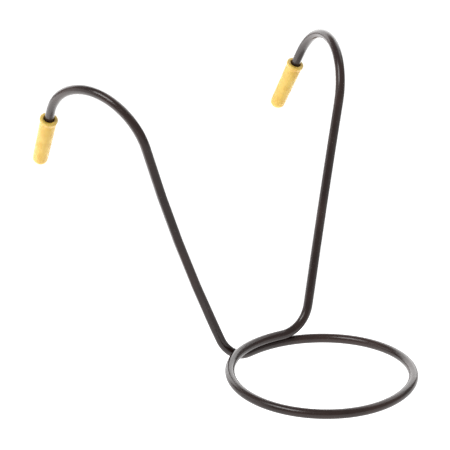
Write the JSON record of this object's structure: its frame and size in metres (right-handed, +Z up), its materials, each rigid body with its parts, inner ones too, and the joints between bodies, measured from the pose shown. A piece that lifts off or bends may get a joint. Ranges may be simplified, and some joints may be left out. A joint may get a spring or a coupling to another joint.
{
  "type": "razor stand",
  "caption": "Bent wire razor stand: a ring foot and two splayed arms that end in backward hooks, with a soft push-on cap over each end of the plastic-coated wire.",
  "frame": {"origin": "on the table, under the middle of the object's box", "axes": "+Z up, +Y away from the ring foot towards the hooks, +X to the arm whose wire passes on top at the crossing"},
  "size_m": [0.1674, 0.187, 0.1527],
  "materials": {
    "steel_core": "drawn steel rod, seen only inside the coating",
    "wire_coating": "glossy brown-black plastic coating",
    "cap_vinyl": "matt golden yellow soft vinyl, slightly mottled"
  },
  "bodies": {
    "root": {"wire_core": "steel_core", "wire_coating": "wire_coating", "cap_left": "cap_vinyl", "cap_right": "cap_vinyl"}
  },
  "joints": []
}
